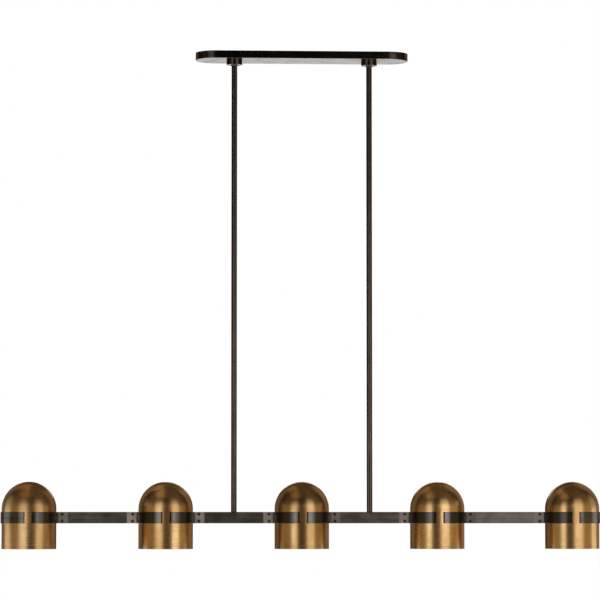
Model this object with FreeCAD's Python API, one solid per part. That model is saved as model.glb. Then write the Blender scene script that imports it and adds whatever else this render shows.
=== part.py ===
"""Linear island pendant: five domed shades in a row on a bar, hung from a ceiling canopy by two stems.

Millimetres, +Z up. The origin is on the ceiling plane at the middle of the canopy, the row of shades
runs along X, and the front faces -Y. Each shade sits between clamp straps that leave a narrow gap at
its front and back. The straps are screwed to plugs in the ends of four short bars, and two of the bars
carry the stems. A ball at the top of each stem turns in a housing, so the whole row swings about X.
"""

import FreeCAD
import Part

import math
import os

Vec = FreeCAD.Vector
OUT = "parts"

# The row of shades.
SHADE_COUNT = 5
PITCH = 381.0
BAR_Z = -1309.0

# Shade: a cylinder with a half-sphere on top and a folded hem at its mouth.
SHADE_R = 76.2
SHADE_WALL = 1.2
SHADE_BELOW_BAR = 87.3
SHADE_HEIGHT = 187.3
HEM_HEIGHT = 7.5
HEM_GROOVE = 0.35

# Bars, their end plugs and the clamp straps.
BAR_HEIGHT = 31.75
BAR_DEPTH = 19.0
BAR_WALL = 1.6
BAR_CORNER = 1.0
STRAP_THICK = 3.2
STRAP_GAP_ANGLE = 9.0
STRAP_BEND = 2.5
STRAP_INNER_BEND = 4.0
STRAP_EDGE = 0.4
FLANGE_END = 108.0
TONGUE_LENGTH = 18.0
WIRE_HOLE_R = 4.5
BAND_SKIN = 0.2

# Small screws: one thread size holds the straps, the lamp brackets and the swivel housings.
SCREW_R = 1.7
SCREW_HOLE_R = 1.9
STRAP_SCREW_X = 92.5
STRAP_SCREW_Z = 9.9
STRAP_SCREW_REACH = 9.0
STRAP_HEAD_R = 2.75
STRAP_HEAD_HEIGHT = 1.6
STRAP_HEAD_DOME_R = 4.2
BRACKET_SCREW_Z = 9.0
BRACKET_SCREW_REACH = 10.0
BRACKET_HEAD_R = 3.3
BRACKET_HEAD_TOP_R = 2.6
BRACKET_HEAD_HEIGHT = 2.2
GRUB_R = 2.0
GRUB_LENGTH = 7.5
HEX_FLATS = 2.0
HEX_DEPTH = 1.0
CROSS_REACH = 1.7
CROSS_WIDTH = 0.8
CROSS_DEPTH = 1.1

# Stems: plain tube in three lengths, joined by threaded nipples.
STEM_R = 8.0
STEM_X = PITCH / 2
STEM_SECTIONS = ("upper", "middle", "lower")
NIPPLE_R = 5.0
NIPPLE_BORE_R = 3.4
NIPPLE_REACH = 11.0
NIPPLE_IN_BALL = 8.0
NIPPLE_UNDER_WALL = 7.0
LOCKNUT_FLATS = 14.0
LOCKNUT_HEIGHT = 5.0
SEAM_CHAMFER = 0.25

# Canopy, and the ball swivels under it.
CANOPY_LENGTH = 600.0
CANOPY_DEPTH = 118.0
CANOPY_HEIGHT = 21.0
CANOPY_WALL = 1.5
CANOPY_EDGE = 1.0
PLATE_LENGTH = 520.0
PLATE_DEPTH = 50.0
PLATE_THICK = 2.5
COLLAR_R = 22.25
COLLAR_HEIGHT = 12.5
COLLAR_EDGE = 0.8
SNOUT_R = 15.5
SNOUT_RECESS = 0.5
COVER_HOLE_CLEARANCE = 0.5
HOUSING_R = 20.0
BALL_R = 13.0
BALL_Z = -25.5
BALL_CLEARANCE = 0.3
BALL_TOP = 9.0
BALL_FLARE = 3.5
HOUSING_SCREW_CIRCLE_R = 16.6
HOUSING_SCREW_ANGLES = (60.0, 180.0, 300.0)
HOUSING_SCREW_REACH = 8.0
COUNTERSINK = 1.5
COUNTERSINK_R = 3.1

# Ceiling fixing: slots for a ceiling box, and a hole near each end for an anchor.
BOX_SLOT_SPACING = 79.4
BOX_SLOT_LENGTH = 14.3
BOX_SLOT_R = 2.4
ANCHOR_SPACING = 490.0
ANCHOR_R = 2.75
SUPPLY_HOLE_R = 16.0
GROUND_SCREW_X = -45.0
GROUND_SCREW_Y = 17.0
GROUND_SCREW_R = 2.0
GROUND_HEAD_FLATS = 7.0
GROUND_HEAD_HEIGHT = 2.8

# Lamp: bracket across the shade, lampholder and bulb. Heights are from the middle of the bar.
LEG_X = 74.2
BRACKET_THICK = 2.0
BRACKET_WIDTH = 20.0
LEG_FOOT = -14.0
LEG_TOP = 23.0
BRACKET_TOP = 68.0
BRACKET_FLAT = 38.0
BRACKET_BEND = 1.5
HOLDER_MOUTH = 14.0
HOLDER_R = 19.0
HOLDER_SHOULDER = 46.0
HOLDER_NECK_R = 15.0
HOLDER_NECK = 51.0
HOLDER_BORE_R = 13.4
HOLDER_BORE_END = 39.5
HOLDER_RIDGE = 20.0
RIDGE_HEIGHT = 4.0
RIDGE_DEPTH = 0.8
HOLDER_THREAD = 8.0
HOLDER_NUT_HEIGHT = 4.0
NIPPLE_PAST_NUT = 3.0
BULB_BASE_R = 13.05
BULB_NECK_R = 15.0
BULB_NECK = 11.5
BULB_SHOULDER = 13.0
BULB_R = 30.0
BULB_TIP = -69.0
BULB_CONTACT = 39.0
BULB_CONTACT_R = 4.5
BULB_CAP = 36.5
BULB_CAP_R = 10.0
BULB_BASE_TOP = 34.5

# Wiring.
CABLE_R = 2.5
CABLE_BEND = 20.0
CABLE_DROP_X = 45.0
CABLE_ENTRY = 58.0
ENTRY_DEPTH = 3.0
SPLICE_HALF = Vec(9.0, 5.5, 5.5)
SPLICE_FLOOR = 0.5
CANOPY_CABLE_Z = -10.0
CANOPY_CABLE_BEND = 8.0
WINDOW_CLEARANCE = 2.0
CANOPY_CABLE_END = -110.0
CABLE_PAST_BALL = 1.5
CORE_R = 1.0
CORE_OFFSET = 1.3
CORE_LEAD = 9.0
CORE_BEND = 5.0
CONNECTOR_MOUTH = -80.0
CONNECTOR_STEP = 15.0
CONNECTOR_Z = -11.0
CONNECTOR_LENGTH = 22.0
CONNECTOR_MOUTH_R = 6.0
CONNECTOR_TIP_R = 3.6
CONNECTOR_RIBS = 8
RIB_R = 0.8
RIB_START = 7.0

# For picking edges: what counts as level, as in place and as too short to be a strap's long edge.
LEVEL = 1e-6
IN_PLACE = 0.1
SHORT_EDGE = 5.0

# Worked out from the above.
FIRST_SHADE_X = -PITCH * (SHADE_COUNT - 1) / 2
SPRING_LINE = SHADE_HEIGHT - SHADE_BELOW_BAR - SHADE_R
STRAP_R = SHADE_R + STRAP_THICK
HALF_BAR = BAR_HEIGHT / 2
FACE_Y = BAR_DEPTH / 2
PLUG_Y = FACE_Y - STRAP_THICK
STEM_TOP = BALL_Z - math.sqrt(BALL_R**2 - STEM_R**2)
STEM_FOOT = BAR_Z + HALF_BAR
BRACKET_UNDERSIDE = BRACKET_TOP - BRACKET_THICK


def shade_x(number):
    return FIRST_SHADE_X + PITCH * (number - 1)


def box(x0, x1, y0, y1, z0, z1):
    return Part.makeBox(x1 - x0, y1 - y0, z1 - z0, Vec(x0, y0, z0))


def rod(radius, start, end, end_radius=None):
    """A round bar between two points, or a cone where a second radius is given."""
    run = Vec(*end) - Vec(*start)
    if end_radius is None:
        return Part.makeCylinder(radius, run.Length, Vec(*start), run)
    return Part.makeCone(radius, end_radius, run.Length, Vec(*start), run)


def moved(shape, x=0.0, y=0.0, z=0.0):
    copy = shape.copy()
    copy.translate(Vec(x, y, z))
    return copy


def flipped(shape, axis):
    """A mirror image across the plane through the origin that is square to the axis."""
    return shape.mirror(Vec(0, 0, 0), Vec(*axis))


def arc(start, middle, end):
    return Part.Arc(Vec(*start), Vec(*middle), Vec(*end)).toShape()


def chain(points):
    """Straight edges through the points, in order."""
    return [Part.LineSegment(Vec(*a), Vec(*b)).toShape() for a, b in zip(points, points[1:])]


def turned(edges):
    """The solid that a closed outline in the XZ plane sweeps about Z."""
    face = Part.Face(Part.Wire(edges))
    return face.revolve(Vec(0, 0, 0), Vec(0, 0, 1), 360)


def drum(steps):
    """A turned solid from (radius, z) corners, closed on itself."""
    corners = [(radius, 0, z) for radius, z in steps]
    return turned(chain(corners + corners[:1]))


def ring_sector(inner, outer, start_deg, end_deg, half_height):
    def at(radius, degrees):
        angle = math.radians(degrees)
        return (radius * math.cos(angle), radius * math.sin(angle), -half_height)

    middle = (start_deg + end_deg) / 2
    outline = Part.Wire(
        [
            arc(at(outer, start_deg), at(outer, middle), at(outer, end_deg)),
            *chain([at(outer, end_deg), at(inner, end_deg)]),
            arc(at(inner, end_deg), at(inner, middle), at(inner, start_deg)),
            *chain([at(inner, start_deg), at(outer, start_deg)]),
        ]
    )
    return Part.Face(outline).extrude(Vec(0, 0, 2 * half_height))


def stadium(length, depth, z0, z1):
    """A slab with fully round ends."""
    radius = depth / 2
    reach = length / 2 - radius
    slab = box(-reach, reach, -radius, radius, z0, z1)
    for x in (-reach, reach):
        slab = slab.fuse(rod(radius, (x, 0, z0), (x, 0, z1)))
    return slab.removeSplitter()


def hexagon(across_flats, z0, z1):
    """A hexagonal prism with its axis along Z."""
    corner = across_flats / math.sqrt(3)
    angles = [math.radians(60 * step) for step in range(7)]
    outline = [(corner * math.cos(a), corner * math.sin(a), z0) for a in angles]
    return Part.Face(Part.Wire(chain(outline))).extrude(Vec(0, 0, z1 - z0))


def nut(across_flats, bore, z0, z1):
    return hexagon(across_flats, z0, z1).cut(rod(bore, (0, 0, z0), (0, 0, z1)))


def cross_recess():
    """What a cross-head driver takes out of a screw head whose top is at z = 0."""
    reach, half = CROSS_REACH, CROSS_WIDTH / 2
    one_way = box(-reach, reach, -half, half, -CROSS_DEPTH, 0)
    return one_way.fuse(box(-half, half, -reach, reach, -CROSS_DEPTH, 0)).removeSplitter()


def rounded(points, bend):
    """Straight runs through the points, with a tangent arc of the given radius at each corner."""
    edges = []
    here = Vec(*points[0])
    for before, corner, after in zip(points, points[1:], points[2:]):
        back = (Vec(*before) - Vec(*corner)).normalize()
        on = (Vec(*after) - Vec(*corner)).normalize()
        half = math.acos(max(-1.0, min(1.0, back.dot(on)))) / 2
        start = Vec(*corner) + back * (bend / math.tan(half))
        end = Vec(*corner) + on * (bend / math.tan(half))
        centre = Vec(*corner) + (back + on).normalize() * (bend / math.sin(half))
        middle = centre + (Vec(*corner) - centre).normalize() * bend
        edges.append(Part.LineSegment(here, start).toShape())
        edges.append(Part.Arc(start, middle, end).toShape())
        here = end
    edges.append(Part.LineSegment(here, Vec(*points[-1])).toShape())
    return Part.Wire(edges)


def cable(points, radius, bend):
    """A round cable along straight runs and tangent arcs."""
    path = rounded(points, bend)
    start = Vec(*points[0])
    section = Part.Wire(Part.makeCircle(radius, start, Vec(*points[1]) - start))
    tube = path.makePipeShell([section], True, False)
    expected = math.pi * radius**2 * path.Length
    print(f"cable of {path.Length:.0f} mm, bend {bend:.0f} mm, volume ratio {tube.Volume / expected:.4f}")
    return tube


def edges_where(shape, test):
    return [edge for edge in shape.Edges if test(edge)]


def is_outline_edge(edge, half_height):
    """Whether an edge lies in the top or bottom face of a flat-sided strap."""
    bounds = edge.BoundBox
    return bounds.ZLength < LEVEL and abs(abs(bounds.ZMin) - half_height) < LEVEL


# Canopy and swivels.


def ceiling_plate():
    plate = stadium(PLATE_LENGTH, PLATE_DEPTH, -PLATE_THICK, 0)
    slot = stadium(BOX_SLOT_LENGTH, 2 * BOX_SLOT_R, -PLATE_THICK, 0)
    for side in (-1, 1):
        plate = plate.cut(moved(slot, x=side * BOX_SLOT_SPACING / 2))
        anchor_x = side * ANCHOR_SPACING / 2
        plate = plate.cut(rod(ANCHOR_R, (anchor_x, 0, -PLATE_THICK), (anchor_x, 0, 0)))
    plate = plate.cut(rod(SUPPLY_HOLE_R, (0, 0, -PLATE_THICK), (0, 0, 0)))
    for screw in housing_screws(housing_screw_blank) + [ground_screw()]:
        plate = plate.cut(screw)
    return plate


def canopy_cover():
    pan = stadium(CANOPY_LENGTH, CANOPY_DEPTH, -CANOPY_HEIGHT, 0)
    rim = edges_where(pan, lambda edge: abs(edge.BoundBox.ZMax + CANOPY_HEIGHT) < LEVEL)
    pan = pan.makeFillet(CANOPY_EDGE, rim)
    length, depth = CANOPY_LENGTH - 2 * CANOPY_WALL, CANOPY_DEPTH - 2 * CANOPY_WALL
    pan = pan.cut(stadium(length, depth, CANOPY_WALL - CANOPY_HEIGHT, CANOPY_WALL))
    for side in (-1, 1):
        x = side * STEM_X
        pan = pan.cut(rod(SNOUT_R + COVER_HOLE_CLEARANCE, (x, 0, -2 * CANOPY_HEIGHT), (x, 0, 0)))
    return pan


def swivel_housing():
    """A turned housing with a round seat for the ball and a threaded snout for the collar."""
    shoulder = CANOPY_WALL - CANOPY_HEIGHT
    seat_r = BALL_R + BALL_CLEARANCE
    snout_end = SNOUT_RECESS - CANOPY_HEIGHT - COLLAR_HEIGHT
    body = rod(HOUSING_R, (0, 0, shoulder), (0, 0, -PLATE_THICK))
    body = body.fuse(rod(SNOUT_R, (0, 0, snout_end), (0, 0, shoulder)))
    body = body.cut(Part.makeSphere(seat_r, Vec(0, 0, BALL_Z)))
    body = body.cut(rod(seat_r, (0, 0, BALL_Z), (0, 0, 0)))
    for angle in HOUSING_SCREW_ANGLES:
        body = body.cut(housing_screw_blank(angle))
    return body.removeSplitter()


def cable_window():
    """The notch in a housing's wall that lets the cable out towards the middle of the canopy."""
    half = CABLE_R + WINDOW_CLEARANCE
    return box(0, 2 * HOUSING_R, -half, half, CANOPY_CABLE_Z - half, 0)


def housing_screw_place(angle):
    turn = math.radians(angle)
    return HOUSING_SCREW_CIRCLE_R * math.cos(turn), HOUSING_SCREW_CIRCLE_R * math.sin(turn)


def housing_screw_blank(angle):
    """A countersunk screw down through the plate into a housing, in the housing's own axes."""
    x, y = housing_screw_place(angle)
    head = rod(COUNTERSINK_R, (x, y, 0), (x, y, -COUNTERSINK), SCREW_R)
    return head.fuse(rod(SCREW_R, (x, y, -COUNTERSINK), (x, y, -PLATE_THICK - HOUSING_SCREW_REACH)))


def housing_screw(angle):
    x, y = housing_screw_place(angle)
    return housing_screw_blank(angle).cut(moved(cross_recess(), x=x, y=y))


def housing_screws(make=housing_screw):
    return [
        moved(turned_for(side, make(angle)), x=side * STEM_X)
        for side in (-1, 1)
        for angle in HOUSING_SCREW_ANGLES
    ]


def turned_for(side, shape):
    """A left-hand swivel piece is as drawn, with +X towards the middle. The right one is mirrored."""
    return shape if side < 0 else flipped(shape, (1, 0, 0))


def collar():
    """The ring nut that holds the cover up against the housing."""
    top = -CANOPY_HEIGHT
    ring = rod(COLLAR_R, (0, 0, top - COLLAR_HEIGHT), (0, 0, top))
    lower_edge = edges_where(ring, lambda edge: abs(edge.BoundBox.ZMax - top + COLLAR_HEIGHT) < LEVEL)
    ring = ring.makeFillet(COLLAR_EDGE, lower_edge)
    return ring.cut(rod(SNOUT_R, (0, 0, top - COLLAR_HEIGHT), (0, 0, top)))


def swivel_ball():
    """The ball on a stem's upper end, flat where the stem meets it and flared for the cable."""
    ball = Part.makeSphere(BALL_R, Vec(0, 0, BALL_Z))
    keep = rod(2 * BALL_R, (0, 0, STEM_TOP), (0, 0, BALL_Z + BALL_TOP))
    ball = ball.common(keep)
    ball = ball.cut(rod(NIPPLE_R, (0, 0, STEM_TOP), (0, 0, BALL_Z)))
    return ball.cut(rod(NIPPLE_R, (0, 0, BALL_Z), (0, 0, BALL_Z + BALL_TOP), NIPPLE_R + BALL_FLARE))


def ground_screw():
    """A hexagon-head screw up into the plate's underside."""
    head = hexagon(GROUND_HEAD_FLATS, -PLATE_THICK - GROUND_HEAD_HEIGHT, -PLATE_THICK)
    screw = head.fuse(rod(GROUND_SCREW_R, (0, 0, -PLATE_THICK), (0, 0, 0)))
    return moved(screw, x=GROUND_SCREW_X, y=GROUND_SCREW_Y)


def canopy_cable():
    """The supply end of the cable: out of the left ball, through the window, then three cores."""
    start_z = BALL_Z + CABLE_PAST_BALL
    route = [(-STEM_X, 0, start_z), (-STEM_X, 0, CANOPY_CABLE_Z), (CANOPY_CABLE_END, 0, CANOPY_CABLE_Z)]
    cables = [cable(route, CABLE_R, CANOPY_CABLE_BEND)]
    for fan, angle in zip((-1, 0, 1), (210.0, 90.0, 330.0)):
        y = CORE_OFFSET * math.cos(math.radians(angle))
        z = CANOPY_CABLE_Z + CORE_OFFSET * math.sin(math.radians(angle))
        route = [
            (CANOPY_CABLE_END, y, z),
            (CANOPY_CABLE_END + CORE_LEAD, y, z),
            (CONNECTOR_MOUTH - CORE_LEAD, fan * CONNECTOR_STEP, CONNECTOR_Z),
            (CONNECTOR_MOUTH, fan * CONNECTOR_STEP, CONNECTOR_Z),
        ]
        cables.append(cable(route, CORE_R, CORE_BEND))
    return cables


def wire_connectors():
    """Three twist-on connectors, each a ribbed cone."""
    tip = CONNECTOR_LENGTH
    taper = (CONNECTOR_MOUTH_R - CONNECTOR_TIP_R) / tip
    rib_foot = CONNECTOR_MOUTH_R - taper * RIB_START - RIB_R / 2
    rib_tip = CONNECTOR_TIP_R - RIB_R / 4
    body = rod(CONNECTOR_MOUTH_R, (0, 0, 0), (tip, 0, 0), CONNECTOR_TIP_R)
    for step in range(CONNECTOR_RIBS):
        turn = 2 * math.pi * step / CONNECTOR_RIBS
        dy, dz = math.cos(turn), math.sin(turn)
        foot = (RIB_START, rib_foot * dy, rib_foot * dz)
        body = body.fuse(rod(RIB_R, foot, (tip, rib_tip * dy, rib_tip * dz)))
    return [moved(body, x=CONNECTOR_MOUTH, y=fan * CONNECTOR_STEP, z=CONNECTOR_Z) for fan in (-1, 0, 1)]


# Stems.


def stem_joints():
    """The heights of a stem's ends and of the joints between its lengths, from the top down."""
    run = (STEM_TOP - STEM_FOOT) / len(STEM_SECTIONS)
    return [STEM_TOP - run * step for step in range(len(STEM_SECTIONS) + 1)]


def stem_section(index):
    top, foot = stem_joints()[index : index + 2]
    tube = rod(STEM_R, (0, 0, foot), (0, 0, top))
    tube = tube.makeChamfer(SEAM_CHAMFER, edges_where(tube, lambda edge: edge.BoundBox.ZLength < LEVEL))
    return tube.cut(rod(NIPPLE_R, (0, 0, foot), (0, 0, top)))


def tube_nipple(top, foot):
    return rod(NIPPLE_R, (0, 0, foot), (0, 0, top)).cut(rod(NIPPLE_BORE_R, (0, 0, foot), (0, 0, top)))


def stem_fixings():
    """The hollow nipples of both stems, and the locknut under the top wall of each bar."""
    top, *joints, foot = stem_joints()
    under_wall = foot - BAR_WALL
    pieces = [tube_nipple(top + NIPPLE_IN_BALL, top - NIPPLE_REACH)]
    pieces += [tube_nipple(joint + NIPPLE_REACH, joint - NIPPLE_REACH) for joint in joints]
    pieces.append(tube_nipple(foot + NIPPLE_REACH, under_wall - NIPPLE_UNDER_WALL))
    pieces.append(nut(LOCKNUT_FLATS, NIPPLE_R, under_wall - LOCKNUT_HEIGHT, under_wall))
    return [moved(piece, x=side * STEM_X) for side in (-1, 1) for piece in pieces]


# Bars, plugs and straps. A shade's pieces are drawn about its own axis, on its +X side.


def bar(number):
    """A short rectangular tube between two shades. The second and third carry the stems."""
    middle = (shade_x(number) + shade_x(number + 1)) / 2
    half = PITCH / 2 - FLANGE_END
    tube = box(-half, half, -FACE_Y, FACE_Y, -HALF_BAR, HALF_BAR)
    long_edges = edges_where(tube, lambda edge: edge.BoundBox.XLength > half)
    tube = tube.makeFillet(BAR_CORNER, long_edges)
    inner_y, inner_z = FACE_Y - BAR_WALL, HALF_BAR - BAR_WALL
    tube = tube.cut(box(-half, half, -inner_y, inner_y, -inner_z, inner_z))
    for side in (-1, 1):
        x = side * (half - TONGUE_LENGTH / 2)
        tube = tube.cut(rod(GRUB_R, (x, 0, -HALF_BAR), (x, 0, 0)))
    if abs(abs(middle) - STEM_X) < IN_PLACE:
        tube = tube.cut(rod(NIPPLE_R, (0, 0, 0), (0, 0, HALF_BAR)))
    return moved(tube, x=middle, z=BAR_Z)


def end_plug():
    """The block between a shade and a bar, with a tongue that fills the end of the tube."""
    tongue_end = FLANGE_END + TONGUE_LENGTH
    inner_y, inner_z = FACE_Y - BAR_WALL, HALF_BAR - BAR_WALL
    plug = box(0, FLANGE_END, -PLUG_Y, PLUG_Y, -HALF_BAR, HALF_BAR)
    plug = plug.cut(rod(SHADE_R, (0, 0, -BAR_HEIGHT), (0, 0, BAR_HEIGHT)))
    plug = plug.fuse(box(FLANGE_END, tongue_end, -inner_y, inner_y, -inner_z, inner_z))
    plug = plug.cut(rod(WIRE_HOLE_R, (0, 0, 0), (tongue_end, 0, 0)))
    for z in (-BRACKET_SCREW_Z, BRACKET_SCREW_Z):
        plug = plug.cut(rod(SCREW_R, (0, 0, z), (SHADE_R + BRACKET_SCREW_REACH, 0, z)))
    for z in (-STRAP_SCREW_Z, STRAP_SCREW_Z):
        plug = plug.cut(rod(SCREW_R, (STRAP_SCREW_X, -PLUG_Y, z), (STRAP_SCREW_X, PLUG_Y, z)))
    return plug.cut(grub_screw_blank())


def grub_screw_blank():
    x = FLANGE_END + TONGUE_LENGTH / 2
    return rod(GRUB_R, (x, 0, -HALF_BAR), (x, 0, GRUB_LENGTH - HALF_BAR))


def grub_screw():
    """A headless screw up through the bar's underside, with a hexagon socket in its lower end."""
    socket = hexagon(HEX_FLATS, -HALF_BAR, 2 * HEX_DEPTH - HALF_BAR)
    return grub_screw_blank().cut(moved(socket, x=FLANGE_END + TONGUE_LENGTH / 2))


def clamp_strap():
    """One front strap: flat where it is screwed to the plug, then bent round a quarter of the shade."""
    bend_x = math.sqrt(SHADE_R**2 - PLUG_Y**2)
    bend_deg = math.degrees(math.asin(PLUG_Y / SHADE_R))
    strap = ring_sector(SHADE_R, STRAP_R, STRAP_GAP_ANGLE - 90, -bend_deg, HALF_BAR)
    strap = strap.fuse(box(bend_x, FLANGE_END, -FACE_Y, -PLUG_Y, -HALF_BAR, HALF_BAR)).removeSplitter()
    outer_x = math.sqrt(STRAP_R**2 - FACE_Y**2)
    for x, y, bend in ((outer_x, -FACE_Y, STRAP_BEND), (bend_x, -PLUG_Y, STRAP_INNER_BEND)):
        strap = strap.makeFillet(bend, edges_where(strap, lambda edge: is_upright_at(edge, x, y)))
    strap = strap.makeChamfer(STRAP_EDGE, edges_where(strap, is_strap_front_edge))
    for z in (-STRAP_SCREW_Z, STRAP_SCREW_Z):
        strap = strap.cut(rod(SCREW_HOLE_R, (STRAP_SCREW_X, -FACE_Y, z), (STRAP_SCREW_X, 0, z)))
    return strap


def is_upright_at(edge, x, y):
    bounds = edge.BoundBox
    near = abs(bounds.XMin - x) < IN_PLACE and abs(bounds.YMin - y) < IN_PLACE
    return near and bounds.ZLength > BAR_HEIGHT / 2


def is_strap_front_edge(edge):
    """The long top and bottom edges on the face of a strap that looks away from the shade."""
    if not is_outline_edge(edge, HALF_BAR) or edge.Length < SHORT_EDGE:
        return False
    middle = edge.valueAt((edge.FirstParameter + edge.LastParameter) / 2)
    outward = math.hypot(middle.x, middle.y) > STRAP_R - IN_PLACE
    return outward and middle.y < IN_PLACE - FACE_Y


def end_band():
    """The band round the outer side of an end shade, drawn on the -X side."""
    band = ring_sector(SHADE_R, STRAP_R, 90 + STRAP_GAP_ANGLE, 270 - STRAP_GAP_ANGLE, HALF_BAR)
    outer = edges_where(
        band, lambda edge: is_outline_edge(edge, HALF_BAR) and edge.BoundBox.YLength > 2 * SHADE_R
    )
    band = band.makeChamfer(STRAP_EDGE, outer)
    for z in (-BRACKET_SCREW_Z, BRACKET_SCREW_Z):
        band = band.cut(rod(SCREW_R, (0, 0, z), (BAND_SKIN - STRAP_R, 0, z)))
    return band


def strap_screw():
    """A button-head screw in a front strap."""
    x = STRAP_SCREW_X
    face = -FACE_Y
    top = face - STRAP_HEAD_HEIGHT
    dome = Part.makeSphere(STRAP_HEAD_DOME_R, Vec(x, top + STRAP_HEAD_DOME_R, 0))
    head = rod(STRAP_HEAD_R, (x, face, 0), (x, top, 0)).common(dome)
    socket = hexagon(HEX_FLATS, 0, HEX_DEPTH)
    socket.rotate(Vec(0, 0, 0), Vec(1, 0, 0), 90)
    socket.translate(Vec(x, top + HEX_DEPTH, 0))
    return head.cut(socket).fuse(rod(SCREW_R, (x, face, 0), (x, face + STRAP_SCREW_REACH, 0)))


def sides_with_bar(number):
    """Which sides of a shade have a bar, as signs along X."""
    return [side for side in (-1, 1) if 1 <= number + side <= SHADE_COUNT]


def on_side(shape, side, number):
    """A piece drawn on the +X side of a shade's axis, put on the given side of one shade."""
    piece = shape if side > 0 else flipped(shape, (1, 0, 0))
    return moved(piece, x=shade_x(number), z=BAR_Z)


def front_and_back(shape):
    return [shape, flipped(shape, (0, 1, 0))]


def clamp_straps(number):
    straps = front_and_back(clamp_strap())
    return [on_side(strap, side, number) for side in sides_with_bar(number) for strap in straps]


def strap_screws():
    upper = moved(strap_screw(), z=STRAP_SCREW_Z)
    lower = moved(strap_screw(), z=-STRAP_SCREW_Z)
    screws = front_and_back(upper) + front_and_back(lower)
    return [
        on_side(screw, side, number)
        for number in range(1, SHADE_COUNT + 1)
        for side in sides_with_bar(number)
        for screw in screws
    ]


def end_plugs(number):
    """The plugs at the two ends of one bar."""
    return [on_side(end_plug(), 1, number), on_side(end_plug(), -1, number + 1)]


def grub_screws():
    screws = []
    for number in range(1, SHADE_COUNT):
        screws.append(on_side(grub_screw(), 1, number))
        screws.append(on_side(grub_screw(), -1, number + 1))
    return screws


# Shades and lamps, drawn about the shade's axis with z = 0 at the middle of the bar.


def shade(number):
    mouth = -SHADE_BELOW_BAR
    inner_r = SHADE_R - SHADE_WALL
    hem_r = inner_r - SHADE_WALL
    hem_top = mouth + HEM_HEIGHT
    diagonal = math.sqrt(0.5)

    def quarter(radius, rising):
        low = (radius, 0, SPRING_LINE)
        middle = (radius * diagonal, 0, SPRING_LINE + radius * diagonal)
        high = (0, 0, SPRING_LINE + radius)
        return arc(low, middle, high) if rising else arc(high, middle, low)

    outside = [
        (hem_r, 0, mouth),
        (SHADE_R, 0, mouth),
        (SHADE_R, 0, hem_top - HEM_GROOVE),
        (SHADE_R - HEM_GROOVE, 0, hem_top),
        (SHADE_R, 0, hem_top + HEM_GROOVE),
        (SHADE_R, 0, SPRING_LINE),
    ]
    inside = [(inner_r, 0, SPRING_LINE), (inner_r, 0, hem_top), (hem_r, 0, hem_top), (hem_r, 0, mouth)]
    crown = chain([(0, 0, SPRING_LINE + SHADE_R), (0, 0, SPRING_LINE + inner_r)])
    shell = turned(
        chain(outside) + [quarter(SHADE_R, True)] + crown + [quarter(inner_r, False)] + chain(inside)
    )
    for side in (-1, 1):
        for z in (-BRACKET_SCREW_Z, BRACKET_SCREW_Z):
            shell = shell.cut(rod(SCREW_HOLE_R, (0, 0, z), (side * STRAP_R, 0, z)))
    for side in sides_with_bar(number):
        shell = shell.cut(rod(WIRE_HOLE_R, (0, 0, 0), (side * STRAP_R, 0, 0)))
    return moved(shell, x=shade_x(number), z=BAR_Z)


def socket_bracket(number):
    """A strip bent into an arch across the shade. Its top carries the lampholder."""
    half = BRACKET_WIDTH / 2
    skin = BRACKET_THICK
    outer = [
        (-LEG_X, -half, LEG_FOOT),
        (-LEG_X, -half, LEG_TOP),
        (-BRACKET_FLAT, -half, BRACKET_TOP),
        (BRACKET_FLAT, -half, BRACKET_TOP),
        (LEG_X, -half, LEG_TOP),
        (LEG_X, -half, LEG_FOOT),
    ]
    rise = math.atan2(BRACKET_TOP - LEG_TOP, LEG_X - BRACKET_FLAT)
    low_shift = skin * math.tan((math.pi / 2 - rise) / 2)
    high_shift = skin * math.tan(rise / 2)
    inner = [
        (LEG_X - skin, -half, LEG_FOOT),
        (LEG_X - skin, -half, LEG_TOP - low_shift),
        (BRACKET_FLAT - high_shift, -half, BRACKET_UNDERSIDE),
        (high_shift - BRACKET_FLAT, -half, BRACKET_UNDERSIDE),
        (skin - LEG_X, -half, LEG_TOP - low_shift),
        (skin - LEG_X, -half, LEG_FOOT),
    ]
    outline = Part.Wire(chain(outer + inner + outer[:1]))
    strip = Part.Face(outline).extrude(Vec(0, BRACKET_WIDTH, 0))
    corners = edges_where(
        strip, lambda edge: edge.BoundBox.YLength > half and edge.BoundBox.ZMin > LEG_FOOT + IN_PLACE
    )
    strip = strip.makeFillet(BRACKET_BEND, corners)
    for z in (-BRACKET_SCREW_Z, BRACKET_SCREW_Z):
        strip = strip.cut(rod(SCREW_HOLE_R, (-LEG_X, 0, z), (LEG_X, 0, z)))
    strip = strip.cut(rod(WIRE_HOLE_R, (-LEG_X, 0, 0), (LEG_X, 0, 0)))
    strip = strip.cut(rod(NIPPLE_R, (0, 0, 0), (0, 0, BRACKET_TOP)))
    return moved(strip, x=shade_x(number), z=BAR_Z)


def bracket_screw(reach):
    """A pan-head screw from inside the shade, through the bracket's leg and out along +X."""
    seat = LEG_X - BRACKET_THICK
    top = seat - BRACKET_HEAD_HEIGHT
    rim = seat - BRACKET_HEAD_HEIGHT / 2
    crown = rod(BRACKET_HEAD_TOP_R, (top, 0, 0), (rim, 0, 0), BRACKET_HEAD_R)
    head = crown.fuse(rod(BRACKET_HEAD_R, (rim, 0, 0), (seat, 0, 0)))
    recess = cross_recess()
    recess.rotate(Vec(0, 0, 0), Vec(0, 1, 0), -90)
    recess.translate(Vec(top, 0, 0))
    return head.cut(recess).fuse(rod(SCREW_R, (seat, 0, 0), (reach, 0, 0))).removeSplitter()


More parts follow.
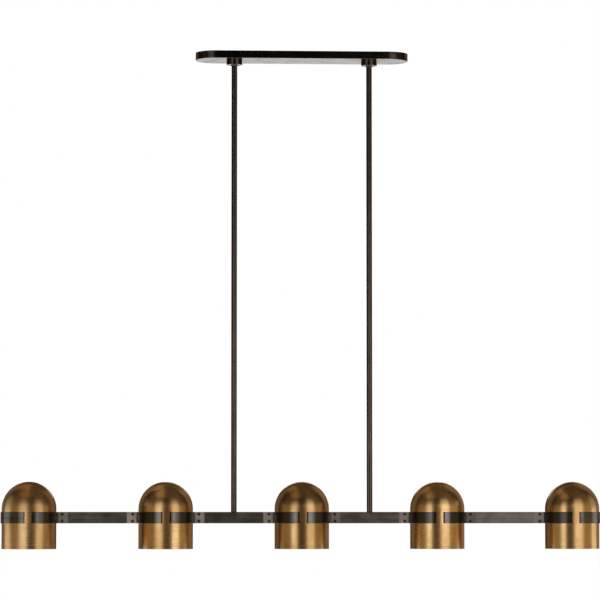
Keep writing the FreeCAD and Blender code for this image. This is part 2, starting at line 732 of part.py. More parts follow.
def bracket_screws():
    """Long screws reach into the plugs, and short ones into the end bands."""
    screws = []
    for number in range(1, SHADE_COUNT + 1):
        for side in (-1, 1):
            reach = SHADE_R + BRACKET_SCREW_REACH if side in sides_with_bar(number) else STRAP_R - BAND_SKIN
            for z in (-BRACKET_SCREW_Z, BRACKET_SCREW_Z):
                screws.append(on_side(moved(bracket_screw(reach), z=z), side, number))
    return screws


def lampholder(number):
    body = drum(
        [
            (0, HOLDER_MOUTH),
            (HOLDER_R, HOLDER_MOUTH),
            (HOLDER_R, HOLDER_SHOULDER),
            (HOLDER_NECK_R, HOLDER_NECK),
            (HOLDER_NECK_R, BRACKET_UNDERSIDE),
            (0, BRACKET_UNDERSIDE),
        ]
    )
    body = body.fuse(rod(HOLDER_R + RIDGE_DEPTH, (0, 0, HOLDER_RIDGE), (0, 0, HOLDER_RIDGE + RIDGE_HEIGHT)))
    body = body.cut(rod(HOLDER_BORE_R, (0, 0, HOLDER_MOUTH), (0, 0, HOLDER_BORE_END)))
    body = body.cut(rod(NIPPLE_R, (0, 0, BRACKET_UNDERSIDE - HOLDER_THREAD), (0, 0, BRACKET_UNDERSIDE)))
    pocket = HOLDER_NECK_R - ENTRY_DEPTH
    for side in sides_with_bar(number):
        entry = rod(CABLE_R, (side * pocket, 0, CABLE_ENTRY), (side * HOLDER_R, 0, CABLE_ENTRY))
        body = body.cut(entry)
    return moved(body, x=shade_x(number), z=BAR_Z)


def holder_fixings():
    """The nipple and nut that hang each lampholder from its bracket."""
    nut_top = BRACKET_TOP + HOLDER_NUT_HEIGHT
    nipple = tube_nipple(nut_top + NIPPLE_PAST_NUT, BRACKET_UNDERSIDE - HOLDER_THREAD)
    locknut = nut(LOCKNUT_FLATS, NIPPLE_R, BRACKET_TOP, nut_top)
    return [
        moved(piece, x=shade_x(number), z=BAR_Z)
        for number in range(1, SHADE_COUNT + 1)
        for piece in (nipple, locknut)
    ]


def bulb(number):
    """A pear-shaped bulb: a globe, a neck tangent to it, and a screw base with a centre contact."""
    centre_z = BULB_TIP + BULB_R
    drop = BULB_NECK - centre_z
    reach = math.hypot(BULB_NECK_R, drop)
    lean = math.atan2(drop, BULB_NECK_R) - math.acos(BULB_R / reach)
    touch = (BULB_R * math.cos(lean), 0, centre_z + BULB_R * math.sin(lean))
    half_way = (lean - math.pi / 2) / 2
    below = (BULB_R * math.cos(half_way), 0, centre_z + BULB_R * math.sin(half_way))
    tip = (0, 0, BULB_TIP)
    stepped = [
        tip,
        (0, 0, BULB_CONTACT),
        (BULB_CONTACT_R, 0, BULB_CONTACT),
        (BULB_CAP_R, 0, BULB_CAP),
        (BULB_BASE_R, 0, BULB_BASE_TOP),
        (BULB_BASE_R, 0, BULB_SHOULDER),
        (BULB_NECK_R, 0, BULB_NECK),
        touch,
    ]
    return moved(turned(chain(stepped) + [arc(touch, below, tip)]), x=shade_x(number), z=BAR_Z)


# Wiring in the stem and the bars.


def splice_block():
    """The connector in the second bar, where the cable from the stem joins the one along the row."""
    size = SPLICE_HALF
    block = box(-size.x, size.x, -size.y, size.y, -size.z, size.z)
    block = block.cut(rod(CABLE_R, (-size.x, 0, 0), (size.x, 0, 0)))
    block = block.cut(rod(CABLE_R, (0, 0, CABLE_R + SPLICE_FLOOR), (0, 0, size.z)))
    return moved(block, x=-STEM_X, z=BAR_Z)


def harness():
    """One cable down the left stem, and one along each bar from lampholder to lampholder."""
    splice = BAR_Z + CABLE_R + SPLICE_FLOOR
    feed = rod(CABLE_R, (-STEM_X, 0, splice), (-STEM_X, 0, BALL_Z))
    cables = [feed]
    pocket = HOLDER_NECK_R - ENTRY_DEPTH
    for number in range(1, SHADE_COUNT):
        left, right = shade_x(number), shade_x(number + 1)
        route = [
            (left + pocket, 0, CABLE_ENTRY),
            (left + CABLE_DROP_X, 0, CABLE_ENTRY),
            (left + CABLE_DROP_X, 0, 0),
            (right - CABLE_DROP_X, 0, 0),
            (right - CABLE_DROP_X, 0, CABLE_ENTRY),
            (right - pocket, 0, CABLE_ENTRY),
        ]
        cables.append(moved(cable(route, CABLE_R, CABLE_BEND), z=BAR_Z))
    return cables


def swivels(side):
    """The housing, collar and ball over one stem."""
    housing = swivel_housing()
    if side < 0:
        housing = housing.cut(cable_window())
    pieces = {"swivel_housing": housing, "collar": collar(), "swivel_ball": swivel_ball()}
    return {name: moved(turned_for(side, piece), x=side * STEM_X) for name, piece in pieces.items()}


def build():
    """Every node by name, each a solid or a list of separate solids."""
    nodes = {
        "ceiling_plate": ceiling_plate(),
        "canopy_cover": canopy_cover(),
        "housing_screws": housing_screws(),
        "ground_screw": ground_screw(),
        "wire_connectors": wire_connectors(),
        "canopy_cable": canopy_cable(),
        "stem_fixings": stem_fixings(),
        "strap_screws": strap_screws(),
        "grub_screws": grub_screws(),
        "bracket_screws": bracket_screws(),
        "holder_fixings": holder_fixings(),
        "splice_block": splice_block(),
        "harness": harness(),
        "end_band_1": moved(end_band(), x=shade_x(1), z=BAR_Z),
        f"end_band_{SHADE_COUNT}": on_side(flipped(end_band(), (1, 0, 0)), 1, SHADE_COUNT),
    }
    for side, side_name in ((-1, "left"), (1, "right")):
        for name, piece in swivels(side).items():
            nodes[f"{name}_{side_name}"] = piece
        for index, section in enumerate(STEM_SECTIONS):
            nodes[f"stem_{side_name}_{section}"] = moved(stem_section(index), x=side * STEM_X)
    for number in range(1, SHADE_COUNT):
        nodes[f"bar_{number}"] = bar(number)
        nodes[f"end_plugs_bar_{number}"] = end_plugs(number)
    for number in range(1, SHADE_COUNT + 1):
        nodes[f"shade_{number}"] = shade(number)
        nodes[f"clamp_straps_{number}"] = clamp_straps(number)
        nodes[f"socket_bracket_{number}"] = socket_bracket(number)
        nodes[f"lampholder_{number}"] = lampholder(number)
        nodes[f"bulb_{number}"] = bulb(number)
    return nodes


def main():
    os.makedirs(OUT, exist_ok=True)
    nodes = build()
    for name, piece in sorted(nodes.items()):
        shapes = piece if isinstance(piece, list) else [piece]
        solids = [solid for shape in shapes for solid in shape.Solids]
        shape = solids[0] if len(solids) == 1 else Part.makeCompound(solids)
        shape.exportStep(os.path.join(OUT, f"{name}.step"))
        print(f"{name}: {len(solids)} solids, valid {shape.isValid()}, {shape.Volume / 1000:.1f} cm3")
    print(f"{len(nodes)} nodes")


main()
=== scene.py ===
"""Looks of a linear island pendant: five domed brass shades on a dark bronze bar, hung by two stems.

Metres, +Z up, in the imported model's own frame. The row runs along X and its front faces -Y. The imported
pieces keep their shapes and get their finishes here. The bulbs are modelled here, because a bulb's
glass, screw base and contact differ in shape and finish.
"""

import math

import bpy
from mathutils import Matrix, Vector


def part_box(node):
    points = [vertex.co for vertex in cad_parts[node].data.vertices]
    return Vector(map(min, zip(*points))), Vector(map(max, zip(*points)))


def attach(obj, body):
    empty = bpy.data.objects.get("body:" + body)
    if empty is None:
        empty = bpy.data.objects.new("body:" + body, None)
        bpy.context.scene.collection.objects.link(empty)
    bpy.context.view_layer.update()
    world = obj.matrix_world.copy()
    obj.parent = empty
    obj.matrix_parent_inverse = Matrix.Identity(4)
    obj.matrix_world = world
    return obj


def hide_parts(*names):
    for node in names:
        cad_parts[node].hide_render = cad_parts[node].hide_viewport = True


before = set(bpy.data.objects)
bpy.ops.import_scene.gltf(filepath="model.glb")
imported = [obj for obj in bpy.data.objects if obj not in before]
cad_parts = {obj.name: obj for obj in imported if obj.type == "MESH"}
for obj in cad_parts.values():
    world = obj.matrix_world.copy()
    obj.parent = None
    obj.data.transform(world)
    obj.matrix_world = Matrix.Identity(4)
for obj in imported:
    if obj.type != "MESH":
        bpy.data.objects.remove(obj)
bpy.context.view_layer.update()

MM = 0.001

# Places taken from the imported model.
SHADE_NUMBERS = range(1, 6)
SHADE_BOX = {number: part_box(f"shade_{number}") for number in SHADE_NUMBERS}
SHADE_X = {number: (low.x + high.x) / 2 for number, (low, high) in SHADE_BOX.items()}
SHADE_R = (SHADE_BOX[3][1].x - SHADE_BOX[3][0].x) / 2
SPRING_Z = SHADE_BOX[3][1].z - SHADE_R
BAR_LOW, BAR_HIGH = (corner.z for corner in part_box("bar_1"))
BAR_Z = (BAR_LOW + BAR_HIGH) / 2
HALF_BAR = (BAR_HIGH - BAR_LOW) / 2

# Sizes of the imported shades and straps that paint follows. The last two are how far the straps' ends and
# screws lie from the shade's axis, and the screws from the middle of the bar.
SHADE_WALL = 1.2 * MM
STRAP_R = SHADE_R + 3.2 * MM
STRAP_END = 12.4 * MM
STRAP_SCREW_X, STRAP_SCREW_Z = 92.5 * MM, 9.9 * MM

# How light each shade's left and right flange is, from 0 to 1: paint rubbed off, and a painted reflection
# that differs from flange to flange.
FLANGE_WEAR_AND_SHEEN = {1: (0.3, 0.45), 2: (1.0, 0.85), 3: (0.78, 0.45), 4: (0.65, 0.20), 5: (0.35, 0.3)}

# How rough the smoothest shade is where it is soiled, how light each shade's brass is, and how much
# rougher than the smoothest.
BRASS_ROUGH = 0.25
BRASS_TONE = {1: 0.95, 2: 1.06, 3: 0.94, 4: 1.14, 5: 1.02}
BRASS_ROUGHER = {1: 0.05, 2: 0.01, 3: 0.0, 4: 0.01, 5: 0.01}

# Colours of the brass: two tones, what lies over them and how strongly, and the inside.
BRASS_SOILED, BRASS_CLEAN = (0.63, 0.375, 0.150), (0.81, 0.525, 0.255)
BRASS_LINE, LINE_SHARE = (0.50, 0.28, 0.10), 0.15
BRASS_RING, RING_SHARE = (0.52, 0.31, 0.12), 0.15
BRASS_SEAM, SEAM_SHARE = (0.36, 0.20, 0.08), 0.35
# The next colour is painted shade: a dark line on the brass beside each strap's end.
BRASS_PAINTED_SHADE, PAINTED_SHADE_SHARE = (0.10, 0.06, 0.03), 0.85
BRASS_INSIDE = (0.78, 0.54, 0.28)

# Colours of the straps. The rubbed colour, lighter towards the straps' ends, is a painted highlight as well
# as rubbing.
# The bare colour on the flanges is painted reflection as well as rubbed-off paint.
STRAP_DARK, STRAP_RUBBED_HIGHLIGHT, STRAP_BARE_SHEEN = (0.088, 0.076, 0.065), (0.225, 0.200, 0.175), (0.68, 0.62, 0.55)
STRAP_LINE = (0.05, 0.042, 0.035)
STRAP_SCREW_SHADE = (0.05, 0.035, 0.028)
# The next colour is painted shade on the last millimetres of each strap's end.
STRAP_END_SHADE = (0.020, 0.016, 0.013)

# How noise is stretched: a small number draws it out along that axis.
ALONG_X = (0.02, 1.0, 1.0)
ALONG_Z = (1.0, 1.0, 0.02)
ROUND_Z = (0.03, 0.03, 1.0)

# A mix node has several sockets of one name, so its colour sockets are found by number.
MIX_SHARE, MIX_FIRST, MIX_SECOND, MIX_RESULT = 0, 6, 7, 2

# Camera, fitted to the ends of the row and the canopy.
CAMERA_PLACE = (-0.475, -8.975, -1.289)
CAMERA_UP_DEG = 3.763
CAMERA_RIGHT_DEG = 2.998
CAMERA_LENS = 192.0

# Studio: upright cards round the object between (x, y) corners, a flag above it and a pale floor.
CARD_LOW, CARD_HIGH = -2.38, 2.0
FRONT_LEFT, FRONT_RIGHT = (-1.18, -2.95), (0.87, -2.6)
CORNER_LEFT, CORNER_RIGHT = (-2.8, -2.3), (2.2, -1.75)
SIDE_X, SIDE_FLAG_Y = 2.4, 0.12
SIDE_STRIP_X, SIDE_STRIP_LOW = 1.3, -1.75
REAR_X, REAR_Y = 1.4, 2.8
REAR_STRIP_LEFT, REAR_STRIP_RIGHT, REAR_STRIP_Y = -0.5, 0.8, 2.7
REAR_STRIP_LOW, REAR_STRIP_HIGH = -0.62, -0.20
CEILING_R = 3.6
FLOOR_Z = -2.4
FLOOR_R = 9.0
DISC_STEPS = 64
WARM_DARK, WARM, TAN = (1.0, 0.70, 0.38), (1.0, 0.76, 0.42), (1.0, 0.76, 0.52)

# The softboxes are full up to a height, and above it they fade to 37% over each such length.
SOFTBOX_FULL, SOFTBOX_FADE = -0.65, 1.0

# The front flag's darkest place, and the overhead flag's lowest share of its level.
FLAG_MIDDLE_X = -0.15
OVERHEAD_LEAST = 0.75

# How each card's glow changes over it, as steps: from, to, and the share of its level at each.
SOFTBOX_TOP = (0.5, 1.5, 1.0, 0.5)
SOFTBOX_LEFT_END = (-3.0, -2.1, 0.35, 1.0)
FILL_UPWARDS = (-1.05, -0.10, 1.0, 0.30)
STRIP_BY_DOMES = (-1.36, -1.14, 1.0, 0.35)
STRIP_BY_STEMS = (-1.14, -0.75, 1.0, 0.08)
FLAG_ASIDE = (0.25, 0.75, 1.0, 2.4)
PATCH_FOOT, PATCH_HEAD = (-1.20, -0.95, 0.0, 1.0), (-0.50, -0.15, 1.0, 0.0)
PATCH_RIGHT, PATCH_LEFT = (0.15, 0.45, 0.0, 12.0), (-0.50, -0.20, 4.0, 0.0)
FLAG_UPWARDS = (-0.30, 0.10, 1.0, 0.35)
OVERHEAD_LEFT, OVERHEAD_RIGHT = (-1.0, -0.35, 2.9, 0.0), (0.2, 1.5, 0.0, 0.4)
OVERHEAD_BEHIND = (0.8, 2.6, 0.0, 0.8)

# How much the floor is lifted to white, as such a step by the distance from its middle.
FLOOR_LIFT = (0.6, 2.4, 0.25, 1.0)


# Finishes.


class Finish:
    """A node material, with a short call for each kind of node it needs."""

    def __init__(self, name):
        self.material = bpy.data.materials.new(name)
        self.material.use_nodes = True
        self.nodes = self.material.node_tree.nodes
        self.links = self.material.node_tree.links
        self.nodes.clear()
        self.place = self.add("ShaderNodeTexCoord").outputs["Object"]

    def add(self, kind, inputs=None, **settings):
        node = self.nodes.new(kind)
        for setting, value in settings.items():
            setattr(node, setting, value)
        for socket, value in (inputs or {}).items():
            self.feed(node.inputs[socket], value)
        return node

    def feed(self, socket, value):
        if isinstance(value, bpy.types.NodeSocket):
            self.links.new(value, socket)
        else:
            socket.default_value = value

    def math(self, operation, first, second=0.0):
        return self.add("ShaderNodeMath", {0: first, 1: second}, operation=operation).outputs[0]

    def squares(self, first, second):
        """The sum of two values' squares."""
        return self.math("ADD", self.math("POWER", first, 2.0), self.math("POWER", second, 2.0))

    def from_point(self, point):
        """The place relative to a point, as x, y and z."""
        away = self.add("ShaderNodeVectorMath", {0: self.place, 1: point}, operation="SUBTRACT").outputs[0]
        return self.axes(away)

    def axes(self, vector):
        return self.add("ShaderNodeSeparateXYZ", {0: vector}).outputs

    def noise(self, scale, stretch=(1.0, 1.0, 1.0), detail=4.0):
        """Noise from 0 to 1, with scale features to the metre, times the stretch along each axis."""
        place = self.add("ShaderNodeVectorMath", {0: self.place, 1: stretch}, operation="MULTIPLY").outputs[0]
        inputs = {"Vector": place, "Scale": scale, "Detail": detail}
        return self.add("ShaderNodeTexNoise", inputs).outputs["Fac"]

    def between(self, value, low, high, at_low=0.0, at_high=1.0):
        """A smooth step from one value to another as the input goes from low to high."""
        inputs = {"Value": value, "From Min": low, "From Max": high, "To Min": at_low, "To Max": at_high}
        return self.add("ShaderNodeMapRange", inputs, interpolation_type="SMOOTHSTEP").outputs["Result"]

    def mix(self, share, first, second):
        inputs = {MIX_SHARE: share, MIX_FIRST: first, MIX_SECOND: second}
        return self.add("ShaderNodeMix", inputs, data_type="RGBA").outputs[MIX_RESULT]

    def over(self, metal, tone, mask, share=1.0):
        """A colour laid over another where the mask is 1, as strongly as the share says."""
        return self.mix(self.math("MULTIPLY", mask, share), metal, colour(*tone))

    def bump(self, height, depth, under=None):
        """Relief of the given depth in metres, on top of other relief where it is given."""
        inputs = {"Height": height, "Distance": depth, "Strength": 1.0}
        if under is not None:
            inputs["Normal"] = under
        return self.add("ShaderNodeBump", inputs).outputs["Normal"]

    def strap_end_shade_mask(self, x, z):
        """1 on the narrow strip of lampshade beside each strap's end, where a dark line of shade is painted,
        in the shade's own axes.
        """
        reach = self.math("ABSOLUTE", x)
        start = self.between(reach, STRAP_END - 3.5 * MM, STRAP_END - 2.5 * MM)
        beside = self.math("MULTIPLY", start, self.math("LESS_THAN", reach, STRAP_END))
        height = self.math("ABSOLUTE", self.math("ADD", z, SPRING_Z - BAR_Z))
        return self.math("MULTIPLY", beside, self.math("LESS_THAN", height, HALF_BAR))

    def screw_shade(self, x, z):
        """1 on the strap screws' heads and the dark rings round them, from the middle of the straps."""
        aside = self.math("SUBTRACT", self.math("ABSOLUTE", x), STRAP_SCREW_X)
        above = self.math("SUBTRACT", self.math("ABSOLUTE", z), STRAP_SCREW_Z)
        away = self.math("SQRT", self.squares(aside, above))
        return self.between(away, 3.9 * MM, 5.2 * MM, 1.0, 0.0)

    def surface(self, **inputs):
        """Ends the material with one principled shader."""
        named = {name.replace("_", " ").title(): value for name, value in inputs.items()}
        return self.end(self.add("ShaderNodeBsdfPrincipled", named).outputs[0])

    def end(self, shader):
        self.links.new(shader, self.add("ShaderNodeOutputMaterial").inputs["Surface"])
        return self.material


def colour(red, green, blue):
    return (red, green, blue, 1.0)


def brass(number):
    """Aged satin brass, spun round the shade's axis. Its inside is even in colour and more matt."""
    finish = Finish(f"satin_brass_{number}")
    x, y, z = finish.from_point((SHADE_X[number], 0.0, SPRING_Z))
    above = finish.math("MAXIMUM", z, 0.0)
    away = finish.math("ADD", finish.squares(x, y), finish.math("POWER", above, 2.0))
    inside = finish.math("LESS_THAN", finish.math("SQRT", away), SHADE_R - SHADE_WALL / 2)
    clouds = finish.noise(16.0, (1.0, 1.0, 0.6), detail=4.0)
    specks = finish.noise(70.0, (1.0, 1.0, 0.5), detail=2.5)
    streaks = finish.noise(110.0, (1.0, 1.0, 0.05), detail=2.0)
    rings = finish.noise(90.0, ROUND_Z, detail=3.0)
    spun = finish.noise(420.0, (0.01, 0.01, 1.0), detail=2.0)
    mottle = finish.math("ADD", finish.math("MULTIPLY", clouds, 0.70), finish.math("MULTIPLY", specks, 0.12))
    mottle = finish.math("ADD", mottle, finish.math("MULTIPLY", streaks, 0.18))
    clean = finish.between(mottle, 0.38, 0.62)
    bands = finish.between(rings, 0.40, 0.66)
    seam = finish.between(finish.math("ABSOLUTE", z), 0.2 * MM, 1.0 * MM, 1.0, 0.0)
    metal = finish.mix(clean, colour(*BRASS_SOILED), colour(*BRASS_CLEAN))
    metal = finish.over(metal, BRASS_LINE, finish.between(spun, 0.35, 0.65), LINE_SHARE)
    metal = finish.over(metal, BRASS_RING, bands, RING_SHARE)
    metal = finish.over(metal, BRASS_SEAM, seam, SEAM_SHARE)
    # Painted shade: a dark line on the brass beside each strap's end.
    metal = finish.over(metal, BRASS_PAINTED_SHADE, finish.strap_end_shade_mask(x, z), PAINTED_SHADE_SHARE)
    tone = {0: metal, "Scale": BRASS_TONE[number]}
    toned = finish.add("ShaderNodeVectorMath", tone, operation="SCALE").outputs[0]
    metal = finish.mix(inside, toned, colour(*BRASS_INSIDE))
    rough = finish.math("SUBTRACT", BRASS_ROUGH + BRASS_ROUGHER[number], finish.math("MULTIPLY", clean, 0.04))
    rough = finish.math("ADD", rough, finish.math("MULTIPLY", bands, 0.02))
    rough = finish.math("ADD", rough, finish.math("MULTIPLY", inside, 0.14))
    relief = finish.bump(clouds, 0.03 * MM, finish.bump(spun, 0.006 * MM))
    return finish.surface(base_color=metal, metallic=0.98, roughness=rough, normal=relief)


def bronze(name, dark, light, brushed, rough):
    """Dark bronze between two tones, brushed the way that the stretch draws its noise out."""
    finish = Finish(name)
    hairs = finish.noise(600.0, brushed, detail=3.0)
    bands = finish.noise(260.0, brushed, detail=2.0)
    patches = finish.between(finish.noise(30.0, detail=5.0), 0.30, 0.70)
    metal = finish.mix(patches, colour(*dark), colour(*light))
    metal = finish.over(metal, light, finish.between(hairs, 0.32, 0.68), 0.40)
    darker = [0.5 * tone for tone in dark]
    metal = finish.mix(finish.between(bands, 0.42, 0.62, 0.0, 0.30), metal, colour(*darker))
    varied = finish.math("ADD", rough - 0.03, finish.math("MULTIPLY", patches, 0.06))
    relief = finish.bump(hairs, 0.03 * MM)
    return finish.surface(base_color=metal, metallic=1.0, roughness=varied, normal=relief)


def strap_bronze(number, left_wear_sheen, right_wear_sheen):
    """Straps of one shade: dark and smooth round the shade. They are lighter towards their ends and on their
    flanges, a painted highlight and painted reflection as well as rubbing, and their cut ends are painted
    dark as shade.
    """
    finish = Finish(f"strap_bronze_{number}")
    x, _, z = finish.from_point((SHADE_X[number], 0.0, BAR_Z))
    reach = finish.math("ABSOLUTE", x)
    clouds = finish.noise(45.0, detail=5.0)
    hairs = finish.noise(700.0, ROUND_Z, detail=3.0)
    scuffs = finish.noise(160.0, (1.0, 1.0, 0.25), detail=4.0)
    flange = finish.between(reach, STRAP_R, STRAP_R + 4 * MM)
    # Painted highlight as well as rubbing: lighter towards the straps' ends, darker round the shade's sides.
    rubbed_highlight = finish.between(reach, 20 * MM, 34 * MM, 1.0, 0.0)
    metal = finish.mix(rubbed_highlight, colour(*STRAP_DARK), colour(*STRAP_RUBBED_HIGHLIGHT))
    # Painted reflection as well as wear: each flange is lighter by its own share.
    wear_and_sheen = finish.between(x, -1 * MM, 1 * MM, left_wear_sheen, right_wear_sheen)
    wear_and_sheen = finish.math("MULTIPLY", wear_and_sheen, finish.between(scuffs, 0.30, 0.70, 0.7, 1.0))
    worn_sheen = finish.mix(wear_and_sheen, colour(*STRAP_DARK), colour(*STRAP_BARE_SHEEN))
    metal = finish.mix(flange, metal, worn_sheen)
    metal = finish.over(metal, STRAP_LINE, finish.between(hairs, 0.32, 0.68), 0.20)
    metal = finish.over(metal, STRAP_SCREW_SHADE, finish.screw_shade(x, z), 0.8)
    # Painted shade: each strap's cut end is painted near black.
    end_shade = finish.between(reach, STRAP_END + 1.0 * MM, STRAP_END + 2.0 * MM, 1.0, 0.0)
    metal = finish.over(metal, STRAP_END_SHADE, end_shade)
    rough = finish.math("ADD", 0.19, finish.math("MULTIPLY", clouds, 0.06))
    worn_rough = finish.math("ADD", 0.16, finish.math("MULTIPLY", wear_and_sheen, 0.16))
    rough = finish.math("ADD", rough, finish.math("MULTIPLY", flange, worn_rough))
    relief = finish.bump(hairs, 0.03 * MM)
    return finish.surface(base_color=metal, metallic=1.0, roughness=rough, normal=relief)


def speckled(name, dark, light, scale, depth, roughness, **sockets):
    """A moulded, cast or plated surface: two near tones in small grain, with relief to match."""
    finish = Finish(name)
    grain = finish.noise(scale, detail=5.0)
    base = finish.mix(finish.between(grain, 0.35, 0.65), colour(*dark), colour(*light))
    varied = finish.math("ADD", roughness - 0.04, finish.math("MULTIPLY", grain, 0.10))
    return finish.surface(base_color=base, roughness=varied, normal=finish.bump(grain, depth), **sockets)


def make_finishes():
    """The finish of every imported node, by the start of its name."""
    canopy = bronze("canopy_bronze", (0.120, 0.098, 0.081), (0.185, 0.150, 0.122), ALONG_X, 0.19)
    stem = bronze("stem_bronze", (0.100, 0.080, 0.066), (0.145, 0.118, 0.098), ALONG_Z, 0.22)
    bars = bronze("bar_bronze", (0.15, 0.132, 0.117), (0.24, 0.213, 0.190), ALONG_X, 0.35)
    band = bronze("band_bronze", (0.110, 0.096, 0.083), (0.180, 0.158, 0.139), ROUND_Z, 0.19)
    zinc = speckled(
        "zinc_plate", (0.56, 0.56, 0.55), (0.68, 0.68, 0.66), 240.0, 0.02 * MM, 0.38, metallic=1.0
    )
    black_screw = speckled(
        "blackened_screw", (0.035, 0.022, 0.018), (0.070, 0.045, 0.036), 500.0, 0.02 * MM, 0.34, metallic=0.9
    )
    green = speckled(
        "green_screw", (0.03, 0.20, 0.07), (0.05, 0.30, 0.11), 500.0, 0.02 * MM, 0.35, metallic=0.8
    )
    phenolic = speckled(
        "black_phenolic", (0.012, 0.012, 0.012), (0.026, 0.024, 0.022), 300.0, 0.03 * MM, 0.42
    )
    sheath = speckled("cable_sheath", (0.010, 0.010, 0.011), (0.022, 0.022, 0.023), 400.0, 0.03 * MM, 0.55)
    orange = speckled("orange_plastic", (0.62, 0.17, 0.03), (0.74, 0.24, 0.05), 260.0, 0.03 * MM, 0.40)
    finishes = {
        "ceiling_plate": zinc,
        "housing_screws": zinc,
        "ground_screw": green,
        "wire_connectors": orange,
        "canopy_cable": sheath,
        "harness": sheath,
        "canopy_cover": canopy,
        "collar": canopy,
        "swivel_housing": canopy,
        "swivel_ball": stem,
        "stem_fixings": zinc,
        "stem": stem,
        "bar_": bars,
        "end_plugs": bars,
        "end_band": band,
        "strap_screws": black_screw,
        "bracket_screws": black_screw,
        "grub_screws": black_screw,
        "holder_fixings": zinc,
        "socket_bracket": zinc,
        "lampholder": phenolic,
        "splice_block": phenolic,
    }
    for number in SHADE_NUMBERS:
        finishes[f"shade_{number}"] = brass(number)
        finishes[f"clamp_straps_{number}"] = strap_bronze(number, *FLANGE_WEAR_AND_SHEEN[number])
    return finishes


def paint_nodes(finishes):
    """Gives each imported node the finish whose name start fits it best. The bulbs' nodes get none."""
    for name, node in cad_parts.items():
        matches = [start for start in finishes if name.startswith(start)]
        if matches:
            for slot in node.material_slots:
                slot.material = finishes[max(matches, key=len)]


# Bulbs, drawn about the shade's axis with z = 0 at the middle of the bar.

BULB_R = 30.0 * MM
BULB_TIP = -69.0 * MM
NECK_R, NECK_Z = 15.0 * MM, 11.5 * MM
LIP_IN, LIP_UP = 1.2 * MM, 1.4 * MM
BASE_FOOT, BASE_TOP = 13.0 * MM, 34.2 * MM
BASE_R = 13.0 * MM
THREAD_DEPTH, THREAD_PITCH = 0.9 * MM, 3.63 * MM
CONTACT_R, CONTACT_TOP = 4.5 * MM, 38.9 * MM
TURN_STEPS, GLOBE_STEPS, NECK_STEPS, THREAD_STEPS, CONTACT_STEPS = 96, 40, 8, 60, 8
SHARP_DEG = 40


def add_mesh(name, points, faces, finish):
    mesh = bpy.data.meshes.new(name)
    mesh.from_pydata(points, [], faces)
    mesh.validate()
    mesh.shade_smooth()
    mesh.set_sharp_from_angle(angle=math.radians(SHARP_DEG))
    mesh.materials.append(finish)
    piece = bpy.data.objects.new(name, mesh)
    bpy.context.scene.collection.objects.link(piece)
    return piece


def turned(name, outline, finish, ripple=None):
    """A closed turned mesh from (radius, z) points whose ends lie on the axis."""
    low, *rings, high = outline
    points = [(0.0, 0.0, low[1]), (0.0, 0.0, high[1])]
    for radius, z in rings:
        for step in range(TURN_STEPS):
            angle = 2 * math.pi * step / TURN_STEPS
            reach = radius + (ripple(angle, z) if ripple else 0.0)
            points.append((reach * math.cos(angle), reach * math.sin(angle), z))

    def at(ring, step):
        """The number of a ring's point. The two points on the axis come first."""
        return 2 + ring * TURN_STEPS + step % TURN_STEPS

    faces = []
    for step in range(TURN_STEPS):
        faces.append((0, at(0, step + 1), at(0, step)))
        faces.append((1, at(len(rings) - 1, step), at(len(rings) - 1, step + 1)))
        for ring in range(len(rings) - 1):
            faces.append((at(ring, step), at(ring, step + 1), at(ring + 1, step + 1), at(ring + 1, step)))
    return add_mesh(name, points, faces, finish)


def glass_outline():
    """The globe from its tip, a run that leaves it smoothly for the neck, and the neck's lip."""
    centre_z = BULB_TIP + BULB_R
    drop = NECK_Z - centre_z
    lean = math.atan2(drop, NECK_R) - math.acos(BULB_R / math.hypot(NECK_R, drop))
    sweep = lean + math.pi / 2
    angles = [-math.pi / 2 + sweep * step / GLOBE_STEPS for step in range(GLOBE_STEPS + 1)]
    globe = [(BULB_R * math.cos(angle), centre_z + BULB_R * math.sin(angle)) for angle in angles]
    start_r, start_z = globe[-1]
    run_r, run_z = NECK_R - start_r, NECK_Z - start_z
    neck = [
        (start_r + run_r * step / NECK_STEPS, start_z + run_z * step / NECK_STEPS)
        for step in range(1, NECK_STEPS + 1)
    ]
    return [(0.0, BULB_TIP), *globe[1:], *neck, (NECK_R - LIP_IN, NECK_Z + LIP_UP), (0.0, NECK_Z + LIP_UP)]


def thread(angle, z):
    """How far the screw base stands out at a place on it: a rounded helix that fades at both ends."""
    turns = (z - BASE_FOOT) / THREAD_PITCH - angle / (2 * math.pi)
    wave = 0.5 + 0.5 * math.cos(2 * math.pi * turns)
    fade = min(1.0, (z - BASE_FOOT) / THREAD_PITCH, (BASE_TOP - z) / THREAD_PITCH)
    return -THREAD_DEPTH * (1 - wave * max(0.0, fade))


def base_outline():
    height = BASE_TOP - BASE_FOOT
    wall = [(BASE_R, BASE_FOOT + height * step / THREAD_STEPS) for step in range(THREAD_STEPS + 1)]
    return [(0.0, BASE_FOOT), *wall, (0.0, BASE_TOP)]


def insulator_outline():
    """A low cone on the screw base, up to just outside the contact."""
    return [
        (0.0, BASE_TOP - 0.2 * MM),
        (BASE_R - 1.2 * MM, BASE_TOP - 0.2 * MM),
        (BASE_R - 2.4 * MM, BASE_TOP + 1.6 * MM),
        (BASE_R - 5.0 * MM, BASE_TOP + 3.0 * MM),
        (CONTACT_R + 0.5 * MM, BASE_TOP + 3.5 * MM),
        (0.0, BASE_TOP + 3.5 * MM),
    ]


def contact_outline():
    """A low dome that starts inside the insulator."""
    foot = BASE_TOP + 3.2 * MM
    arc = [math.pi / 2 * step / CONTACT_STEPS for step in range(CONTACT_STEPS)]
    dome = [(CONTACT_R * math.cos(a), foot + (CONTACT_TOP - foot) * math.sin(a)) for a in arc]
    return [(0.0, foot), *dome, (0.0, CONTACT_TOP)]


